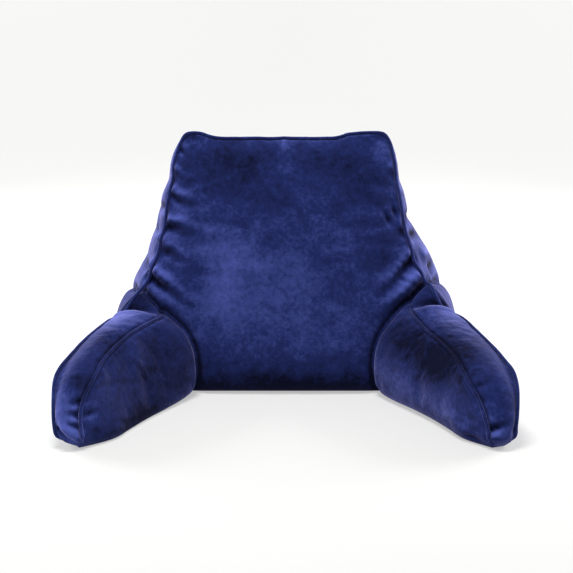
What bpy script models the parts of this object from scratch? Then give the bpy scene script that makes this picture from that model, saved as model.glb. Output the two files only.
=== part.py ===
"""Reading pillow with arms: a filled backrest, two filled arm bolsters and the piping in their seams.

Metres, +Z up, the back towards +Y and the arms towards -Y. The origin lies on the floor, at the middle
of the footprint. Each cushion is a cube cut into a grid whose points are placed by a short table of
sections: the cube's faces become the sewn panels, and its edges the seams between them. The arms run
into the backrest and are cut back to its front panel, which gives the curved seam where they join.
"""

import math

import bmesh
import bpy
from mathutils import Vector
from mathutils.bvhtree import BVHTree

OBJECT_NAME = "reading_pillow"
SIDES = {"left": -1, "right": 1}

# Backrest. Its front panel leans back and its back panel stands upright. A half is half a width, so
# each row is a section of the front and of the back panel at a height above the floor.
TOP_SEAM_HEIGHT = 0.455
FRONT_FOOT_Y = 0.040
FRONT_LEAN = 0.212
BACK_PANEL_Y = 0.230
BACKREST_COLUMNS = ("height", "front_left", "front_right", "back_left", "back_right")
BACKREST_ROWS = (
    (0.000, 0.272, 0.272, 0.284, 0.284),
    (0.060, 0.278, 0.278, 0.292, 0.292),
    (0.120, 0.280, 0.280, 0.294, 0.296),
    (0.150, 0.275, 0.275, 0.291, 0.296),
    (0.180, 0.266, 0.266, 0.290, 0.296),
    (0.210, 0.253, 0.253, 0.273, 0.287),
    (0.240, 0.239, 0.238, 0.259, 0.270),
    (0.270, 0.231, 0.228, 0.248, 0.251),
    (0.300, 0.223, 0.219, 0.237, 0.226),
    (0.345, 0.217, 0.211, 0.222, 0.212),
    (0.370, 0.208, 0.205, 0.208, 0.198),
    (0.400, 0.206, 0.201, 0.200, 0.190),
    (0.438, 0.196, 0.196, 0.190, 0.183),
    (0.455, 0.199, 0.195, 0.186, 0.179),
)
TOP_CORNER_ROUNDING = 13.0
TOP_CORNER_LIFT = 0.018
TOP_CORNER_LIFT_POWER = 6
TOP_BACK_DROP = 0.019
# The filling stands up in a lobe at each top corner, from this far from the middle outwards.
LOBE_START = {"left": 0.130, "right": 0.090}
LOBE_SLOPE = 0.032
LOBE_RISE = 0.0090

# How far the filling pushes each panel out in its middle.
FRONT_CROWN = 0.030
BACK_CROWN = 0.020
TOP_CROWN = 0.008
SIDE_CROWN = 0.012
BAND_CROWN = 0.012

# Arms. y runs from the root, buried in the backrest, to the front end. crest is the height of the
# top band, whose two seams, like the arm's two edges on the floor, are distances from the middle.
# Behind the crease the band rises again, by outer_rise more at its outer seam, and the outer panel
# runs on beside the backrest to its rear.
ARM_COLUMNS = (
    "y", "crest", "outer_rise", "inner_seam", "outer_seam", "inner_foot", "outer_foot", "inner_crown",
    "outer_crown",
)
ARM_ROWS = (
    (0.215, 0.150, 0.010, 0.235, 0.262, 0.215, 0.270, 0.004, 0.006),
    (0.185, 0.166, 0.016, 0.235, 0.275, 0.205, 0.300, 0.010, 0.027),
    (0.150, 0.168, 0.018, 0.235, 0.282, 0.200, 0.310, 0.012, 0.036),
    (0.110, 0.168, 0.020, 0.238, 0.275, 0.190, 0.312, 0.020, 0.034),
    (0.080, 0.166, 0.022, 0.236, 0.268, 0.174, 0.314, 0.032, 0.032),
    (0.062, 0.162, 0.016, 0.230, 0.276, 0.166, 0.316, 0.042, 0.028),
    (0.036, 0.148, 0.002, 0.225, 0.294, 0.167, 0.318, 0.044, 0.026),
    (0.000, 0.148, 0.000, 0.234, 0.316, 0.180, 0.323, 0.037, 0.031),
    (-0.050, 0.144, 0.000, 0.254, 0.330, 0.208, 0.332, 0.030, 0.033),
    (-0.100, 0.139, 0.000, 0.277, 0.341, 0.235, 0.341, 0.022, 0.031),
    (-0.150, 0.135, 0.000, 0.298, 0.351, 0.257, 0.351, 0.016, 0.027),
    (-0.200, 0.132, 0.000, 0.315, 0.362, 0.279, 0.365, 0.012, 0.023),
    (-0.240, 0.130, 0.000, 0.329, 0.368, 0.322, 0.370, 0.007, 0.017),
)
CREASE_Y = 0.036
# The right arm stands this much higher behind here, and less and less in front.
REAR_LIFT = {"left": 0.000, "right": 0.012}
REAR_LIFT_Y = 0.050
REAR_LIFT_REACH = 0.060
ARM_END_ROUNDING = 3.4
# How much further forward the front end reaches at the foot of its inner side.
END_SLANT = 0.009
# How far the foot of the outer side is drawn in at the front end, below this height.
TIP_TUCK = {"left": 0.045, "right": 0.018}
TIP_TUCK_HEIGHT = 0.032
# The arms aren't quite alike: how far each inner panel's seam and foot stand further out.
INNER_SEAM_SHIFT = {"left": 0.012, "right": -0.006}
INNER_FOOT_SHIFT = {"left": -0.008, "right": 0.006}
SHIFT_REACH = 0.33
# The same for the outer seam beside the crease.
OUTER_SEAM_SHIFT = {"left": 0.003, "right": -0.008}
OUTER_SHIFT_REACH = 0.030
# The band is flatter behind the crease, and fills out over this share of the arm in front of it.
BAND_AT_CREASE = 0.35
BAND_FILL_REACH = 0.08

# Fillings: how flat a panel is in its middle, and how steeply it falls to its seams.
ROUND_FILL = (2.6, 0.7)
LONG_FILL = (5.0, 0.6)
ARM_PANEL_FILL = (5.0, 0.75)
BAND_FILL = (2.2, 0.8)

# Where a cushion meets the floor, its skin rolls under.
ROLL_UNDER_HEIGHT = 0.024
ROLL_UNDER_INSET = 0.011

# Grid cells of each cushion: across, front to back (or root to end) and up, crowded to the seams.
BACKREST_CELLS = (18, 6, 20)
ARM_CELLS = (6, 30, 10)
ARM_ROOT_CELLS = 12
SEAM_CROWDING = 0.72

# Piping: a thin covered cord that stands on the seam, a little clear of the skins.
PIPING_RADIUS = 0.0035
PIPING_GAP = 0.0014
PIPING_STEP = 0.0095
PIPING_SIDES_LEVEL = 2
PIPING_FOOT_HEIGHT = 0.010
# Where the backrest's piping and the arm's outer piping meet.
JUNCTION_HEIGHT = 0.190
JUNCTION_Y = 0.082
PIPING_EASING = 5
# How far to each side of a seam the skins are read to find which way is out.
SEAM_LEAN = 0.05
PATH_SAMPLES = 80
PROBE_DIRECTION = Vector((0.31, 0.17, 0.94)).normalized()
PROBE_SKIP = 1e-5
NEIGHBOUR_GAP = 0.0005

VELVET = (0.014, 0.016, 0.072, 1.0)
PIPING_VELVET = (0.018, 0.020, 0.085, 1.0)
VELVET_ROUGHNESS = 0.85


def table(columns, rows):
    """The rows as dictionaries, in the order of their first column."""
    return sorted((dict(zip(columns, row)) for row in rows), key=lambda row: row[columns[0]])


def smooth_value(rows, key, at, column):
    """A column's value at a place between the rows, along a smooth curve through them."""
    at = min(max(at, rows[0][key]), rows[-1][key])
    i = next(n for n in range(len(rows) - 1) if at <= rows[n + 1][key])
    before, low, high, after = (rows[min(max(n, 0), len(rows) - 1)] for n in range(i - 1, i + 3))
    span = high[key] - low[key]
    u = (at - low[key]) / span
    slope_low = (high[column] - before[column]) / (high[key] - before[key]) * span
    slope_high = (after[column] - low[column]) / (after[key] - low[key]) * span
    return (
        (2 * u**3 - 3 * u**2 + 1) * low[column]
        + (u**3 - 2 * u**2 + u) * slope_low
        + (3 * u**2 - 2 * u**3) * high[column]
        + (u**3 - u**2) * slope_high
    )


def mix(a, b, share):
    return a + (b - a) * share


def steps(start, end, count):
    return [mix(start, end, n / count) for n in range(count + 1)]


def crowded(u):
    """Moves evenly spaced places from 0 to 1 towards both ends, where the seams are."""
    return u - SEAM_CROWDING * math.sin(2 * math.pi * u) / (2 * math.pi)


def fullness(u, fill):
    """The filled height of a panel, 1 in its middle and 0 at the seams, where u is -1 or 1."""
    flatness, edge = fill
    return max(1 - abs(u) ** flatness, 0.0) ** edge


def rolled_under(height):
    """How far the skin is drawn in at a height above the floor."""
    return ROLL_UNDER_INSET * max(1 - height / ROLL_UNDER_HEIGHT, 0.0) ** 2


def rounded_corner(u, v, power):
    """A place in the square from 0 to 1, moved so that the square's corner at (1, 1) becomes round."""
    if min(u, v) <= 0:
        return u, v
    shrink = max(u, v) / (u**power + v**power) ** (1 / power)
    return u * shrink, v * shrink


BACKREST = table(BACKREST_COLUMNS, BACKREST_ROWS)
ARM = table(ARM_COLUMNS, ARM_ROWS)


def place_on_backrest(across, back, up):
    """A point of the backrest, each share from 0 to 1: left to right, front to back, floor to top."""
    across, back, up = 2 * crowded(across) - 1, crowded(back), crowded(up)
    side_name = "left" if across < 0 else "right"
    s, h = abs(across), up
    round_from = 1 - BACKREST[-1]["front_left"] / TOP_SEAM_HEIGHT
    if h > round_from:
        s, v = rounded_corner(s, (h - round_from) / (1 - round_from), TOP_CORNER_ROUNDING)
        h = mix(round_from, 1, v)
    z = TOP_SEAM_HEIGHT * h
    front_half = smooth_value(BACKREST, "height", z, f"front_{side_name}")
    back_half = smooth_value(BACKREST, "height", z, f"back_{side_name}")
    x = s * mix(front_half, back_half, back)
    y = mix(FRONT_FOOT_Y + FRONT_LEAN * z, BACK_PANEL_Y, back)

    across_fill = fullness(across, ROUND_FILL)
    up_fill = fullness(2 * up - 1, LONG_FILL)
    depth_fill = fullness(2 * back - 1, ROUND_FILL)
    if back == 0:
        y -= FRONT_CROWN * across_fill * up_fill
    if back == 1:
        y += BACK_CROWN * across_fill * up_fill
    if abs(across) == 1:
        x += SIDE_CROWN * depth_fill * up_fill
    if up == 1:
        z += TOP_CROWN * depth_fill * across_fill
    high = max(2 * up - 1, 0)
    lobe = min(max((x - LOBE_START[side_name]) / LOBE_SLOPE, 0), 1)
    z += high * (TOP_CORNER_LIFT * abs(across) ** TOP_CORNER_LIFT_POWER - TOP_BACK_DROP * back**2)
    z += high**3 * LOBE_RISE * lobe**2 * (3 - 2 * lobe)

    inset = rolled_under(z)
    x -= inset * s
    y += inset * (1 - 2 * back)
    return Vector((SIDES[side_name] * x, y, z))


def place_on_arm(side_name, across, along, up):
    """A point of an arm, each share from 0 to 1: inner to outer panel, root to end, floor to band."""
    across, up = 2 * crowded(across) - 1, crowded(up)
    root_y, end_y = ARM[-1]["y"], ARM[0]["y"]
    root_share = ARM_ROOT_CELLS / ARM_CELLS[1]
    reach, h = 0.0, up
    if along <= root_share:
        y = mix(root_y, CREASE_Y, along / root_share)
    else:
        reach, h = rounded_corner((along - root_share) / (1 - root_share), up, ARM_END_ROUNDING)
        y = mix(CREASE_Y, end_y, reach)
    here = {column: smooth_value(ARM, "y", y, column) for column in ARM_COLUMNS[1:]}
    crest = here["crest"] + here["outer_rise"] * (across + 1) / 2
    crest += REAR_LIFT[side_name] * math.exp(-((max(REAR_LIFT_Y - y, 0) / REAR_LIFT_REACH) ** 2))
    z = crest * h

    low = (1 - h) ** 3
    shift = mix(INNER_SEAM_SHIFT[side_name], INNER_FOOT_SHIFT[side_name], low)
    shift *= min(reach / SHIFT_REACH, 1) * (1 - low * reach**8)
    inner = mix(here["inner_foot"], here["inner_seam"], h) + shift
    outer = mix(here["outer_foot"], here["outer_seam"], h)
    outer += OUTER_SEAM_SHIFT[side_name] * math.exp(-(((y - CREASE_Y) / OUTER_SHIFT_REACH) ** 2)) * h
    if abs(across) == 1:
        belly = fullness(max(reach, h), ARM_PANEL_FILL) * (1 - low)
        inner -= here["inner_crown"] * belly
        outer += here["outer_crown"] * belly

    inset = rolled_under(z)
    inner += inset
    outer -= inset + TIP_TUCK[side_name] * max(1 - z / TIP_TUCK_HEIGHT, 0) ** 2 * reach**6
    y += inset * reach**6 - END_SLANT * reach**6 * (1 - h) * (1 - across) / 2
    point = Vector((mix(inner, outer, (across + 1) / 2), y, z))
    if along == 1 or up == 1:
        forwards = reach ** (ARM_END_ROUNDING - 1) / (CREASE_Y - end_y)
        upwards = h ** (ARM_END_ROUNDING - 1) / crest
        filled = min(BAND_AT_CREASE + reach / BAND_FILL_REACH, 1) * min(z / ROLL_UNDER_HEIGHT, 1)
        crown = BAND_CROWN * fullness(across, BAND_FILL) * filled
        point += Vector((0, -forwards, upwards)).normalized() * crown
    point.x *= SIDES[side_name]
    return point


def velvet(name, colour):
    material = bpy.data.materials.new(name)
    material.use_nodes = True
    shader = material.node_tree.nodes["Principled BSDF"]
    shader.inputs["Base Color"].default_value = colour
    shader.inputs["Roughness"].default_value = VELVET_ROUGHNESS
    shader.inputs["Metallic"].default_value = 0.0
    return material


def grid_cube(cells):
    """A cube from -1 to 1 whose edges are cut into the given number of cells along each axis."""
    mesh = bmesh.new()
    bmesh.ops.create_cube(mesh, size=2)
    for axis, count in enumerate(cells):
        lengthwise = [
            edge for edge in mesh.edges
            if abs(edge.verts[0].co[axis] - edge.verts[1].co[axis]) > 1
        ]
        bmesh.ops.subdivide_edges(mesh, edges=lengthwise, cuts=count - 1, use_grid_fill=True)
    return mesh


def cushion(name, cells, place, collection):
    """One filled cushion: a cube's grid, with each point moved to its place."""
    grid = grid_cube(cells)
    for vertex in grid.verts:
        vertex.co = place(*(round((c + 1) / 2 * n) / n for c, n in zip(vertex.co, cells)))
    bmesh.ops.triangulate(grid, faces=grid.faces)
    bmesh.ops.recalc_face_normals(grid, faces=grid.faces)
    mesh = bpy.data.meshes.new(name)
    grid.to_mesh(mesh)
    grid.free()
    mesh.shade_smooth()
    mesh.materials.append(velvet(f"{name}_velvet", VELVET))
    solid = bpy.data.objects.new(name, mesh)
    collection.objects.link(solid)
    return solid


def make_arm(side_name, collection):
    def place(across, along, up):
        return place_on_arm(side_name, across, along, up)

    return cushion(f"arm_{side_name}", ARM_CELLS, place, collection)


def swollen_copy(solid, distance, collection):
    """A cutter a little larger than the solid, so that what it cuts stays clear of it."""
    cutter = bpy.data.objects.new(f"{solid.name}_cutter", solid.data)
    collection.objects.link(cutter)
    swell = cutter.modifiers.new("swell", "DISPLACE")
    swell.mid_level = 0.0
    swell.strength = distance
    cutter.hide_render = True
    cutter.display_type = "WIRE"
    return cutter


def cut(solid, cutter):
    trim = solid.modifiers.new("trim", "BOOLEAN")
    trim.operation = "DIFFERENCE"
    trim.solver = "EXACT"
    trim.object = cutter


def skins(solids):
    """A search tree of each solid's finished surface."""
    bpy.context.view_layer.update()
    graph = bpy.context.evaluated_depsgraph_get()
    return [BVHTree.FromObject(solid, graph) for solid in solids]


def is_inside(point, tree):
    """Whether a ray from the point meets the closed skin an odd number of times."""
    hits, start = 0, point
    while True:
        place = tree.ray_cast(start, PROBE_DIRECTION)[0]
        if place is None:
            return hits % 2 == 1
        hits += 1
        start = place + PROBE_DIRECTION * PROBE_SKIP


def outside_by(point, tree):
    """How far a point stands outside a skin, negative inside it, and the nearest place on the skin."""
    near, _, _, gap = tree.find_nearest(point)
    return (-gap if is_inside(point, tree) else gap), near


def clear_of(points, tree, distance):
    """The points that stand at least the given distance outside a skin."""
    return [point for point in points if outside_by(point, tree)[0] > distance]


def laid_on(points, trees, distance):
    """The points, eased into an even curve and pushed off each skin to stand the distance from it."""
    for _ in range(PIPING_EASING):
        middle = [(a + 2 * b + c) / 4 for a, b, c in zip(points, points[1:], points[2:])]
        points = [points[0], *middle, points[-1]]
        for n, point in enumerate(points):
            for tree in trees:
                gap, near = outside_by(point, tree)
                if gap < distance:
                    point = near + math.copysign(distance, gap) * (point - near).normalized()
            points[n] = point
    return points


def evenly_spaced(points, step):
    """Points along a polyline, about one step apart, with its two ends kept."""
    lengths = [(b - a).length for a, b in zip(points, points[1:])]
    count = max(round(sum(lengths) / step), 2)
    spaced, walked, i = [points[0]], 0.0, 0
    for n in range(1, count):
        target = sum(lengths) * n / count
        while walked + lengths[i] < target:
            walked += lengths[i]
            i += 1
        spaced.append(points[i].lerp(points[i + 1], (target - walked) / lengths[i]))
    return spaced + [points[-1]]


def proud_of(seam, on_one_panel, on_the_other):
    """The piping's centre: off the seam by its radius and a gap, midway between the two panels."""
    outwards = (seam - on_one_panel).normalized() + (seam - on_the_other).normalized()
    return seam + outwards.normalized() * (PIPING_RADIUS + PIPING_GAP)


def arm_seam(side_name, edge):
    """The piping from the arm's root over its end and down; edge is 0 at the inner panel, 1 at the outer."""
    def at(lean, along, up):
        return place_on_arm(side_name, abs(edge - lean), along, up)

    lean = SEAM_LEAN
    over = [
        proud_of(at(0, a, 1), at(lean, a, 1), at(0, a, 1 - lean)) for a in steps(0, 1, PATH_SAMPLES)
    ]
    down = [
        proud_of(at(0, 1, u), at(lean, 1, u), at(0, 1 - lean, u)) for u in steps(1, 0, PATH_SAMPLES)[1:]
    ]
    return [point for point in over + down if point.z > PIPING_FOOT_HEIGHT and point.y < JUNCTION_Y]


def backrest_seam(side):
    """The front panel's piping from above an arm up that side to the middle of the top."""
    edge, lean = (side + 1) / 2, SEAM_LEAN
    at = place_on_backrest
    rise = [
        proud_of(at(edge, 0, u), at(abs(edge - lean), 0, u), at(edge, lean, u))
        for u in steps(0, 1, PATH_SAMPLES)
    ]
    top = [
        proud_of(at(s, 0, 1), at(s, 0, 1 - lean), at(s, lean, 1))
        for s in steps(edge, 0.5, PATH_SAMPLES)[1:]
    ]
    return [point for point in rise if point.z > JUNCTION_HEIGHT] + top


def piping(name, points, trees, collection):
    """A covered cord laid along the points, as an even tube with closed ends."""
    points = laid_on(evenly_spaced(points, PIPING_STEP), trees, PIPING_RADIUS + PIPING_GAP)
    curve = bpy.data.curves.new(name, "CURVE")
    curve.dimensions = "3D"
    curve.bevel_depth = PIPING_RADIUS
    curve.bevel_resolution = PIPING_SIDES_LEVEL
    curve.use_fill_caps = True
    run = curve.splines.new("POLY")
    run.points.add(len(points) - 1)
    for knot, point in zip(run.points, points):
        knot.co = (*point, 1)
    curve.materials.append(velvet(f"{name}_velvet", PIPING_VELVET))
    collection.objects.link(bpy.data.objects.new(name, curve))


def remove_everything():
    for old in list(bpy.data.objects):
        bpy.data.objects.remove(old, do_unlink=True)


def new_collection(name):
    collection = bpy.data.collections.new(name)
    bpy.context.scene.collection.children.link(collection)
    return collection


def main():
    remove_everything()
    parts = new_collection(OBJECT_NAME)
    cutters = new_collection(f"{OBJECT_NAME}_cutters")

    backrest = cushion("backrest", BACKREST_CELLS, place_on_backrest, parts)
    cutter = swollen_copy(backrest, NEIGHBOUR_GAP, cutters)
    arms = [make_arm(side_name, parts) for side_name in SIDES]
    for arm in arms:
        cut(arm, cutter)

    trees = skins([backrest, *arms])
    halves = []
    for side_name, side in SIDES.items():
        inner = clear_of(arm_seam(side_name, 0), trees[0], PIPING_RADIUS + PIPING_GAP)
        piping(f"piping_inner_{side_name}", inner, trees, parts)
        outer = clear_of(arm_seam(side_name, 1), trees[0], PIPING_RADIUS)
        halves.append(outer[::-1] + backrest_seam(side))
    piping("piping_outer", halves[0] + halves[1][-2::-1], trees, parts)


main()
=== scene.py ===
"""Looks of a reading pillow with arms, laid out as an add-on and run as a script.

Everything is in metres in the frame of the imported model: +Z up, the arms towards -Y, the floor at z = 0.
Each cushion is a fine grid of its sewn panels, filled by a cloth simulation with pressure, then creased
by named folds. The piping follows the seams as a Geometry Nodes sweep.
"""

import math
from functools import partial

import bmesh
import bpy
import numpy as np
from bpy.props import FloatProperty, FloatVectorProperty, IntProperty, PointerProperty
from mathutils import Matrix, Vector, noise
from mathutils.bvhtree import BVHTree
from mathutils.kdtree import KDTree


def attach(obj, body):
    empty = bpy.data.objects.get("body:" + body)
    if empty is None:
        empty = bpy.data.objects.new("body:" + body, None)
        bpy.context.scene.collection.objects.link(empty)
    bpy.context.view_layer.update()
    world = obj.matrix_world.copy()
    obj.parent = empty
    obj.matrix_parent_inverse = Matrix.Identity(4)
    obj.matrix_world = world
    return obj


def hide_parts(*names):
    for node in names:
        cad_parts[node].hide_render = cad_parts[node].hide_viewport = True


bl_info = {
    "name": "Reading pillow with arms",
    "version": (1, 0, 0),
    "blender": (4, 5, 0),
    "location": "3D View > Sidebar > Pillow",
    "description": "Builds a filled velvet reading pillow with piped seams on its packed frame",
    "category": "Object",
}

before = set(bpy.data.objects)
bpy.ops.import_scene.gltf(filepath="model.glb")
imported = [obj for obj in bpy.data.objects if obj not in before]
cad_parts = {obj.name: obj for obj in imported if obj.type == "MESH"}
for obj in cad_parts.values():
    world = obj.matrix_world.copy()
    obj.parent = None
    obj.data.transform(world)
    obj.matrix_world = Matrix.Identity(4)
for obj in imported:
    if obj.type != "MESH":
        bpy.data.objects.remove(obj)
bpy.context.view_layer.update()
BODY = "root"

# The photograph's width and focal length in pixels, and a camera that shows the pillow as it does. The
# tilt is up from straight down.
IMAGE_WIDTH = 573
FOCAL_PIXELS = 1100
SENSOR_MM = 36.0
CAMERA_PLACE = (0.0, -1.90, 0.65)
CAMERA_TILT_DEG = 77.0
CAMERA_SHIFT_PIXELS = 1.0

# The sign of x on each side.
SIDES = {"left": -1, "right": 1}

# ---------------------------------------------------------------- the sewn shapes
# Backrest: half widths of the front and of the back panel at heights above the floor. The front panel
# leans back by this much for each metre of height, and the back panel stands upright.
TOP_SEAM_HEIGHT = 0.455
FRONT_FOOT_Y = 0.040
FRONT_LEAN = 0.212
BACK_PANEL_Y = 0.230
BACKREST_COLUMNS = ("height", "front_left", "front_right", "back_left", "back_right")
BACKREST_ROWS = (
    (0.000, 0.272, 0.272, 0.284, 0.284),
    (0.060, 0.278, 0.278, 0.292, 0.292),
    (0.120, 0.280, 0.280, 0.294, 0.296),
    (0.150, 0.275, 0.275, 0.291, 0.296),
    (0.180, 0.266, 0.266, 0.290, 0.296),
    (0.210, 0.253, 0.253, 0.273, 0.287),
    (0.240, 0.239, 0.238, 0.259, 0.270),
    (0.270, 0.231, 0.228, 0.248, 0.251),
    (0.300, 0.223, 0.219, 0.237, 0.226),
    (0.345, 0.217, 0.211, 0.222, 0.212),
    (0.370, 0.208, 0.205, 0.208, 0.198),
    (0.400, 0.206, 0.201, 0.200, 0.190),
    (0.438, 0.196, 0.196, 0.190, 0.183),
    (0.455, 0.199, 0.195, 0.186, 0.179),
)
# The higher this power, the tighter the top corners.
TOP_CORNER_ROUNDING = 11.5
# The top's front seam lies this much above the rows' height and its back seam drops, so that the piping
# makes the outline.
TOP_RISE = 0.006
TOP_CORNER_LIFT = 0.013
TOP_CORNER_LIFT_POWER = 6
TOP_BACK_DROP = 0.028
# The filling stands up in a lobe at each top corner, from this far from the middle outwards.
LOBE_START = {"left": 0.130, "right": 0.090}
LOBE_SLOPE = 0.032
LOBE_RISE = 0.0080
# How far each panel stands out in its middle.
FRONT_CROWN = 0.030
BACK_CROWN = 0.020
TOP_CROWN = 0.001
SIDE_CROWN = 0.012
BAND_CROWN = 0.012

# Arms: y runs from the root, buried in the backrest, to the front end. The outer panel shows beside the
# backrest too, and the band rises behind its crease, most of all at its outer seam.
ARM_COLUMNS = (
    "y", "crest", "outer_rise", "inner_seam", "outer_seam", "inner_foot", "outer_foot", "inner_crown",
    "outer_crown",
)
ARM_ROWS = (
    (0.215, 0.150, 0.010, 0.235, 0.262, 0.215, 0.270, 0.004, 0.006),
    (0.185, 0.166, 0.016, 0.235, 0.275, 0.205, 0.300, 0.010, 0.027),
    (0.150, 0.168, 0.018, 0.235, 0.282, 0.200, 0.310, 0.012, 0.036),
    (0.110, 0.168, 0.020, 0.238, 0.275, 0.190, 0.312, 0.020, 0.034),
    (0.080, 0.166, 0.022, 0.236, 0.268, 0.174, 0.314, 0.032, 0.032),
    (0.062, 0.162, 0.016, 0.230, 0.276, 0.166, 0.316, 0.042, 0.034),
    (0.036, 0.148, 0.002, 0.225, 0.294, 0.167, 0.318, 0.044, 0.034),
    (0.000, 0.148, 0.000, 0.234, 0.316, 0.180, 0.323, 0.037, 0.031),
    (-0.050, 0.144, 0.000, 0.254, 0.330, 0.208, 0.332, 0.030, 0.033),
    (-0.100, 0.139, 0.000, 0.277, 0.341, 0.235, 0.341, 0.022, 0.031),
    (-0.150, 0.135, 0.000, 0.298, 0.351, 0.257, 0.351, 0.016, 0.027),
    (-0.200, 0.132, 0.000, 0.315, 0.362, 0.279, 0.365, 0.012, 0.023),
    (-0.240, 0.130, 0.000, 0.329, 0.368, 0.322, 0.370, 0.007, 0.017),
)
# The band has its crease here, and the root takes this share of the arm's grid.
CREASE_Y = 0.036
ROOT_SHARE = 0.40
# The right arm stands this much higher behind here, and less and less in front.
REAR_LIFT = {"left": 0.000, "right": 0.012}
REAR_LIFT_Y = 0.050
REAR_LIFT_REACH = 0.060
# The same power for the upper corner of an arm's front end.
ARM_END_ROUNDING = 3.4
# How much further forward the front end reaches at the foot of its inner side.
END_SLANT = 0.009
# How far the foot of the outer side is drawn in at the front end, below this height.
TIP_TUCK = {"left": 0.026, "right": 0.006}
TIP_TUCK_HEIGHT = 0.032
# How far outwards of the rows' values the inner panel's seam and foot lie, fully so from this share of
# the way between the crease and the front end.
INNER_SEAM_SHIFT = {"left": 0.012, "right": -0.006}
INNER_FOOT_SHIFT = {"left": -0.008, "right": 0.006}
SHIFT_REACH = 0.33
# The same for the outer seam, beside the crease only.
OUTER_SEAM_SHIFT = {"left": 0.003, "right": -0.008}
OUTER_SHIFT_REACH = 0.030
# The band is this full at its crease and fills up in front of it, by 1 over this share of the arm.
BAND_AT_CREASE = 0.35
BAND_FILL_REACH = 0.08

# Fillings: how flat a panel is in its middle, and how steeply it falls to its seams. The skin rolls
# under near the floor, and the grid's points crowd together beside the seams.
ROUND_FILL = (2.6, 0.7)
LONG_FILL = (5.0, 0.6)
ARM_PANEL_FILL = (5.0, 0.75)
BAND_FILL = (2.2, 0.8)
ROLL_UNDER_HEIGHT = 0.024
ROLL_UNDER_INSET = 0.011
SEAM_CROWDING = 0.45
# Each cushion's lengths across, from front to back and up, over which its grid's cells are counted.
BACKREST_LENGTHS = (0.57, 0.18, 0.45)
ARM_LENGTHS = (0.12, 0.47, 0.19)

# The simulation holds the cover still this close to its seams and to the floor, and gathers spare cloth
# into the seams from this far.
SEWN_REACH = 0.004
FOOT_REACH = 0.012
SPARE_REACH = 0.05
CLOTH = {
    "quality": 5, "mass": 0.25, "air_damping": 4, "tension_stiffness": 14, "compression_stiffness": 14,
    "shear_stiffness": 6, "bending_stiffness": 0.6, "shrink_min": -0.008,
}
# How often the moves and the ways outwards are averaged over the skin.
SWELL_ROUNDS = 30
OUTWARDS_ROUNDS = 3
FLANK_ROUNDS = 40
JOIN_ROUNDS = 20

# Piping along the seams.
PIPING_STEP = 0.006
PIPING_SIDES = 12
WAVE_LENGTH = 0.035
# An arm's piping ends this far above the floor.
PIPING_FOOT_HEIGHT = 0.009
# The front panel's piping ends above this height and an arm's outer piping begins in front of this y, so
# that the two join. An arm's inner piping begins this far behind the crease.
JUNCTION_HEIGHT = 0.188
JUNCTION_Y = 0.082
INNER_PIPING_PAST_CREASE = 0.004
# The way of a ray that runs along no seam, and how far past a hit it starts again.
PROBE_DIRECTION = Vector((0.31, 0.17, 0.94)).normalized()
PROBE_SKIP = 1e-5

# ---------------------------------------------------------------- folds and creases
# Each fold runs over the skin from one point to the other. Height is how far it stands out, negative
# for a valley; width is half its breadth. It is full at its start and loses this share of it by its end.
FOLD_FADE = 0.9
# How far a fold's line may lie off the skin.
FOLD_LINE_REACH = 0.030
# The stitching holds a seam still, so that the folds only set in beside it.
SEAM_HOLD = 0.85
SEAM_HOLD_REACH = 0.005
SEAM_CREASE_REACH = 0.0045
# Folds die out this close to the floor. Unevenness: its size over the skin, and how far it stands out.
FLOOR_REACH = 0.015
UNEVENNESS = ((0.030, 0.0009), (0.012, 0.0005))
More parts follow.
